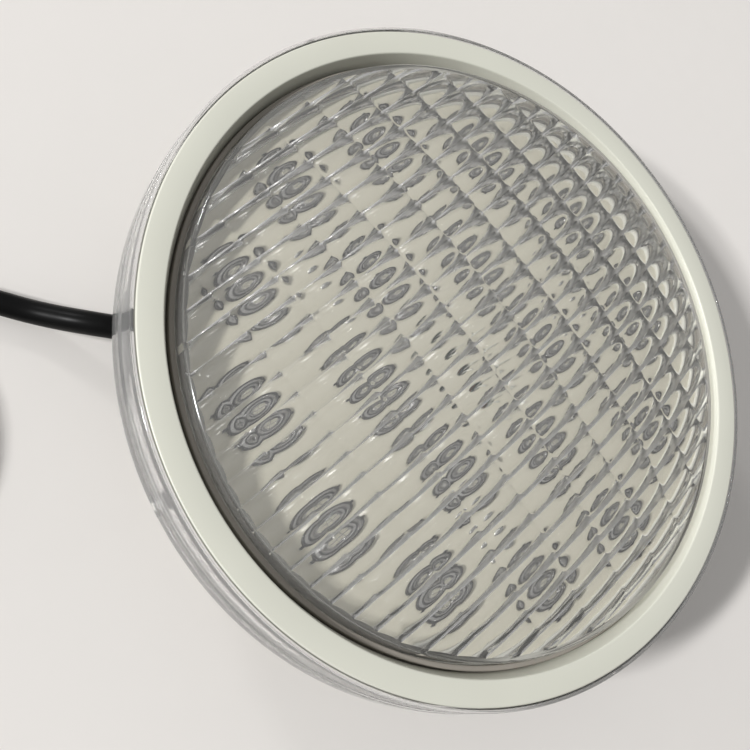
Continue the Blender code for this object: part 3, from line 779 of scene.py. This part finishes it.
def make_screw(name, place, m, head_r, head_z, dome, shank_r, tip_z, node):
    """A cross-recessed screw. The head's outer face is at head_z, and dome is its height, signed."""
    shape = bmesh.new()
    seat = head_z - dome
    outline = [(0.0, head_z)] + [tuple(point) for point in rounded(
        ((head_r * 0.55, head_z), (head_r, head_z - dome * 0.45, head_r * 0.12), (head_r, seat)), 3)]
    outline += [(shank_r, seat), (shank_r, tip_z), (0.0, tip_z)]
    add_turned(shape, outline, 32, closed=False)
    slots = bmesh.new()
    reach, width, depth = head_r * 0.62, head_r * 0.13, abs(dome) * 0.65
    low, high = sorted((head_z - math.copysign(depth, dome), head_z + dome * 0.5))
    for size in ((reach, width), (width, reach)):
        bar = bmesh.new()
        add_box(bar, (-size[0], -size[1], low), (size[0], size[1], high))
        mesh = bpy.data.meshes.new("bar")
        bar.to_mesh(mesh)
        bar.free()
        if len(slots.verts) == 0:
            slots.from_mesh(mesh)
        else:
            other = bmesh.new()
            other.from_mesh(mesh)
            slots = combine(slots, other, "UNION")
        bpy.data.meshes.remove(mesh)
    shape = combine(shape, slots, "DIFFERENCE")
    return finish_shape(name, shape, [m["steel"]], slot="steel_screw", replaces=[node], place=place)


def make_screws(m):
    """The screws of the rim, the cup and the board, one size on each circle."""
    for label, circle, head_r, head_z, dome, shank_r, tip_z in (
            ("rim", RIM_CIRCLE, 0.0022, SEAT_Z + 0.0001, -0.0013, 0.0010, 0.0414),
            ("cup", CUP_CIRCLE, 0.0028, 0.0199, -0.0018, 0.0012, 0.0271),
            ("board", BOARD_CIRCLE, 0.0026, 0.0331, 0.0014, 0.0012, 0.0259)):
        for number, place in on_circle(circle):
            make_screw(f"{label}_bolt_{number}", place, m, head_r, head_z, dome, shank_r, tip_z,
                       f"{label}_screw_{number}")


def make_rear_pan(m):
    """The white pan behind the board, stiffened by ribs round the driver cup."""
    outline = rounded(((0.0866, 0.0349, 0.0003), (0.0866, 0.0323, 0.0004), (0.0796, 0.0323, 0.0006),
                       (0.0796, 0.0255, 0.0014), (0.0100, 0.0255, 0.0004), (0.0100, 0.0275, 0.0004),
                       (0.0775, 0.0275, 0.0006), (0.0775, 0.0349, 0.0003)))
    shape = bmesh.new()
    add_turned(shape, outline, 200)
    ribs = 24
    for index in range(ribs):
        turn = Matrix.Rotation(2.0 * math.pi * (index + 0.5) / ribs, 4, "Z")
        add_box(shape, (0.0660, -0.0007, 0.0232), (0.0786, 0.0007, 0.0258), 0.0003, turn)
    return finish_shape("pan_shell", shape, [m["housing"]], slot="housing", replaces=["rear_pan"])


def make_driver_cup(m):
    """The driver's cup: a flanged round cup with a raised base ring, side ribs and the gland's boss."""
    inner = CUP_R - 0.0025
    outline = rounded(((0.0, 0.0025), (inner, 0.0025, 0.0008), (inner, 0.0244, 0.0003),
                       (CUP_FLANGE_R, 0.0244, 0.0003), (CUP_FLANGE_R, 0.0220, 0.0006),
                       (CUP_R, 0.0220, 0.0010), (CUP_R, 0.0, 0.0016), (0.0490, 0.0, 0.0003),
                       (0.0484, 0.0006, 0.0003), (0.0, 0.0006)), 5)
    shape = bmesh.new()
    add_turned(shape, outline, 192, closed=False)
    boss = bmesh.new()
    add_box(boss, (-GLAND_SEAT, -0.0110, 0.0008), (-0.0500, 0.0110, 0.0221), 0.0008)
    shape = combine(shape, boss, "UNION")
    bore = bmesh.new()
    add_prism(bore, 48, 0.0065, 0.0440, 0.0640)
    bore.transform(gland_place())
    shape = combine(shape, bore, "DIFFERENCE")
    ribs = 30
    for index in range(ribs):
        angle = 360.0 * index / ribs
        if abs(angle - 180.0) < 18.0:
            continue
        turn = Matrix.Rotation(math.radians(angle), 4, "Z")
        add_box(shape, (CUP_R - 0.0004, -0.0006, 0.0020), (CUP_R + 0.0010, 0.0006, 0.0224), 0.0003, turn)
    return finish_shape("cup_shell", shape, [m["housing"]], slot="housing", replaces=["driver_cup"])


# ---------------------------------------------------------------- cable gland

def gland_place():
    """Turns a piece built about Z onto the gland's axis, heights running outwards."""
    return Matrix.Translation((0.0, 0.0, GLAND_Z)) @ Matrix.Rotation(-math.pi / 2.0, 4, "Y")


def add_thread(shape, root, crest, low, high, pitch, bore):
    """Add a threaded sleeve about Z, with a helical ridge outside and a plain bore."""
    segments, samples = 72, round((high - low) / pitch * 8)
    rows = []
    for step in range(samples + 1):
        height = low + (high - low) * step / samples
        fade = min(1.0, (high - height) / pitch * 1.4, (height - low) / pitch * 3.0)
        row = []
        for index in range(segments):
            angle = 2.0 * math.pi * index / segments
            phase = (height / pitch - index / segments) % 1.0
            ridge = max(0.0, 1.0 - abs(phase - 0.5) * 2.6)
            radius = root + (crest - root) * min(1.0, ridge * 1.5) * max(0.0, fade)
            row.append(shape.verts.new((radius * math.cos(angle), radius * math.sin(angle), height)))
        rows.append(row)
    for height in (high, low):
        rows.append([shape.verts.new((bore * math.cos(2.0 * math.pi * index / segments),
                                      bore * math.sin(2.0 * math.pi * index / segments), height))
                     for index in range(segments)])
    for first, second in zip(rows, rows[1:] + rows[:1]):
        for index in range(segments):
            onward = (index + 1) % segments
            shape.faces.new((first[index], first[onward], second[onward], second[index]))


def chamfered_hexagon(radius, low, high, bore):
    """A hexagon about Z with turned-off corners and a bore, as a bmesh."""
    hexagon = bmesh.new()
    add_prism(hexagon, 6, radius, low, high)
    lathe = bmesh.new()
    outline = rounded(((bore, low), (radius * 0.93, low), (radius * 1.0, low + 0.0008),
                       (radius * 1.0, high - 0.0008), (radius * 0.93, high), (bore, high)))
    add_turned(lathe, outline, 96)
    return combine(hexagon, lathe, "INTERSECT")


def make_gland(m):
    """The gland: its body on the cup's boss, the washer and locknut, the seal, the claw and the nut."""
    place = gland_place()
    shape = chamfered_hexagon(HEX_R, 0.0581, 0.0621, 0.0050)
    add_thread(shape, 0.0064, 0.0072, 0.0618, 0.0700, 0.0015, 0.0057)
    add_thread(shape, 0.0056, 0.0061, 0.0446, 0.0584, 0.0015, 0.0042)
    finish_shape("gland_hexagon", shape, [m["nylon"]], slot="gland_nylon", replaces=["gland_body"],
                 place=place, sharp=28.0)
    washer = rounded(((0.0068, 0.0568, 0.0002), (0.0092, 0.0568, 0.0003), (0.0092, 0.0578, 0.0003),
                      (0.0068, 0.0578, 0.0002)))
    turned("gland_o_ring", washer, [m["rubber"]], 72, slot="seal_rubber", replaces=["gland_washer"],
           place=place)
    seal = rounded(((0.0033, 0.0626, 0.0003), (0.0054, 0.0626, 0.0003), (0.0054, 0.0690, 0.0003),
                    (0.0033, 0.0690, 0.0006)))
    turned("gland_bung", seal, [m["rubber"]], 64, slot="seal_rubber", replaces=["gland_seal"], place=place)
    shape = chamfered_hexagon(0.0084, 0.0466, 0.0497, 0.0068)
    finish_shape("gland_back_nut", shape, [m["nylon"]], slot="gland_nylon", replaces=["gland_locknut"],
                 place=place)
    make_claw(m, place)
    make_nut(m, place)


def make_claw(m, place):
    """The claw that the nut squeezes onto the cable, split into fingers."""
    shape = bmesh.new()
    outline = rounded(((0.0042, 0.0748, 0.0003), (0.0058, 0.0732, 0.0003), (0.0058, 0.0704, 0.0002),
                       (0.0054, 0.0694, 0.0001), (0.0034, 0.0694, 0.0002), (0.0034, 0.0748, 0.0002)))
    add_turned(shape, outline, 72)
    slits = bmesh.new()
    for index in range(4):
        turn = Matrix.Rotation(math.pi * index / 4, 4, "Z")
        low = 0.0712 + 0.00002 * index       # the slits' floors don't coincide
        add_box(slits, (-0.0070, -0.00025, low), (0.0070, 0.00025, 0.0760), 0.0, turn)
    shape = combine(shape, slits, "DIFFERENCE")
    finish_shape("gland_fingers", shape, [m["white"]], body="gland_claw", slot="white_inner",
                 replaces=["gland_claw"], place=place)


def make_nut(m, place):
    """The domed nut: flats for a spanner, then a cone down to the cable's outlet."""
    shape = bmesh.new()
    outline = rounded(((0.0066, 0.0780, 0.0006), (0.0102, 0.0744, 0.0010), (0.0103, 0.0640, 0.0003),
                       (0.0075, 0.0640, 0.0002), (0.0075, 0.0712, 0.0002), (0.0061, 0.0738, 0.0002),
                       (0.0046, 0.0752, 0.0003), (0.0037, 0.0780, 0.0003)), 5)
    add_turned(shape, outline, 96)
    flats = bmesh.new()
    add_prism(flats, 6, HEX_R, 0.0630, 0.0790)
    shape = combine(shape, flats, "INTERSECT")
    finish_shape("gland_cap", shape, [m["nylon"]], body="gland_nut", slot="gland_nylon",
                 replaces=["gland_nut"], place=place, sharp=28.0)


# ---------------------------------------------------------------- kept CAD nodes

def finish_nodes(m):
    """New materials, and softened edges, for the CAD nodes that are kept."""
    kept = {
        "led_board": "board", "heat_spreader": "alloy", "driver_board": "laminate",
        "bridge_rectifier": "black", "capacitor": "sleeve", "terminal_block": "block", "choke": "copper",
        "lead_in_brown": "brown", "lead_in_blue": "blue", "lead_out_1": "block", "lead_out_2": "block",
    }
    for node, finish in kept.items():
        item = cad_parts[node]
        item.data.materials.clear()
        item.data.materials.append(m[finish])
        item.data.shade_smooth()
        item.data.set_sharp_from_angle(angle=math.radians(35.0))


def main():
    make_camera()
    materials = make_materials()
    make_cable(materials)
    make_floor()
    make_lights()
    make_lens(materials)
    make_clear_rim(materials)
    make_face_ring(materials)
    make_seals(materials)
    make_board_ring(materials)
    make_leds(materials)
    make_rear_pan(materials)
    make_driver_cup(materials)
    make_screws(materials)
    make_gland(materials)
    finish_nodes(materials)


main()
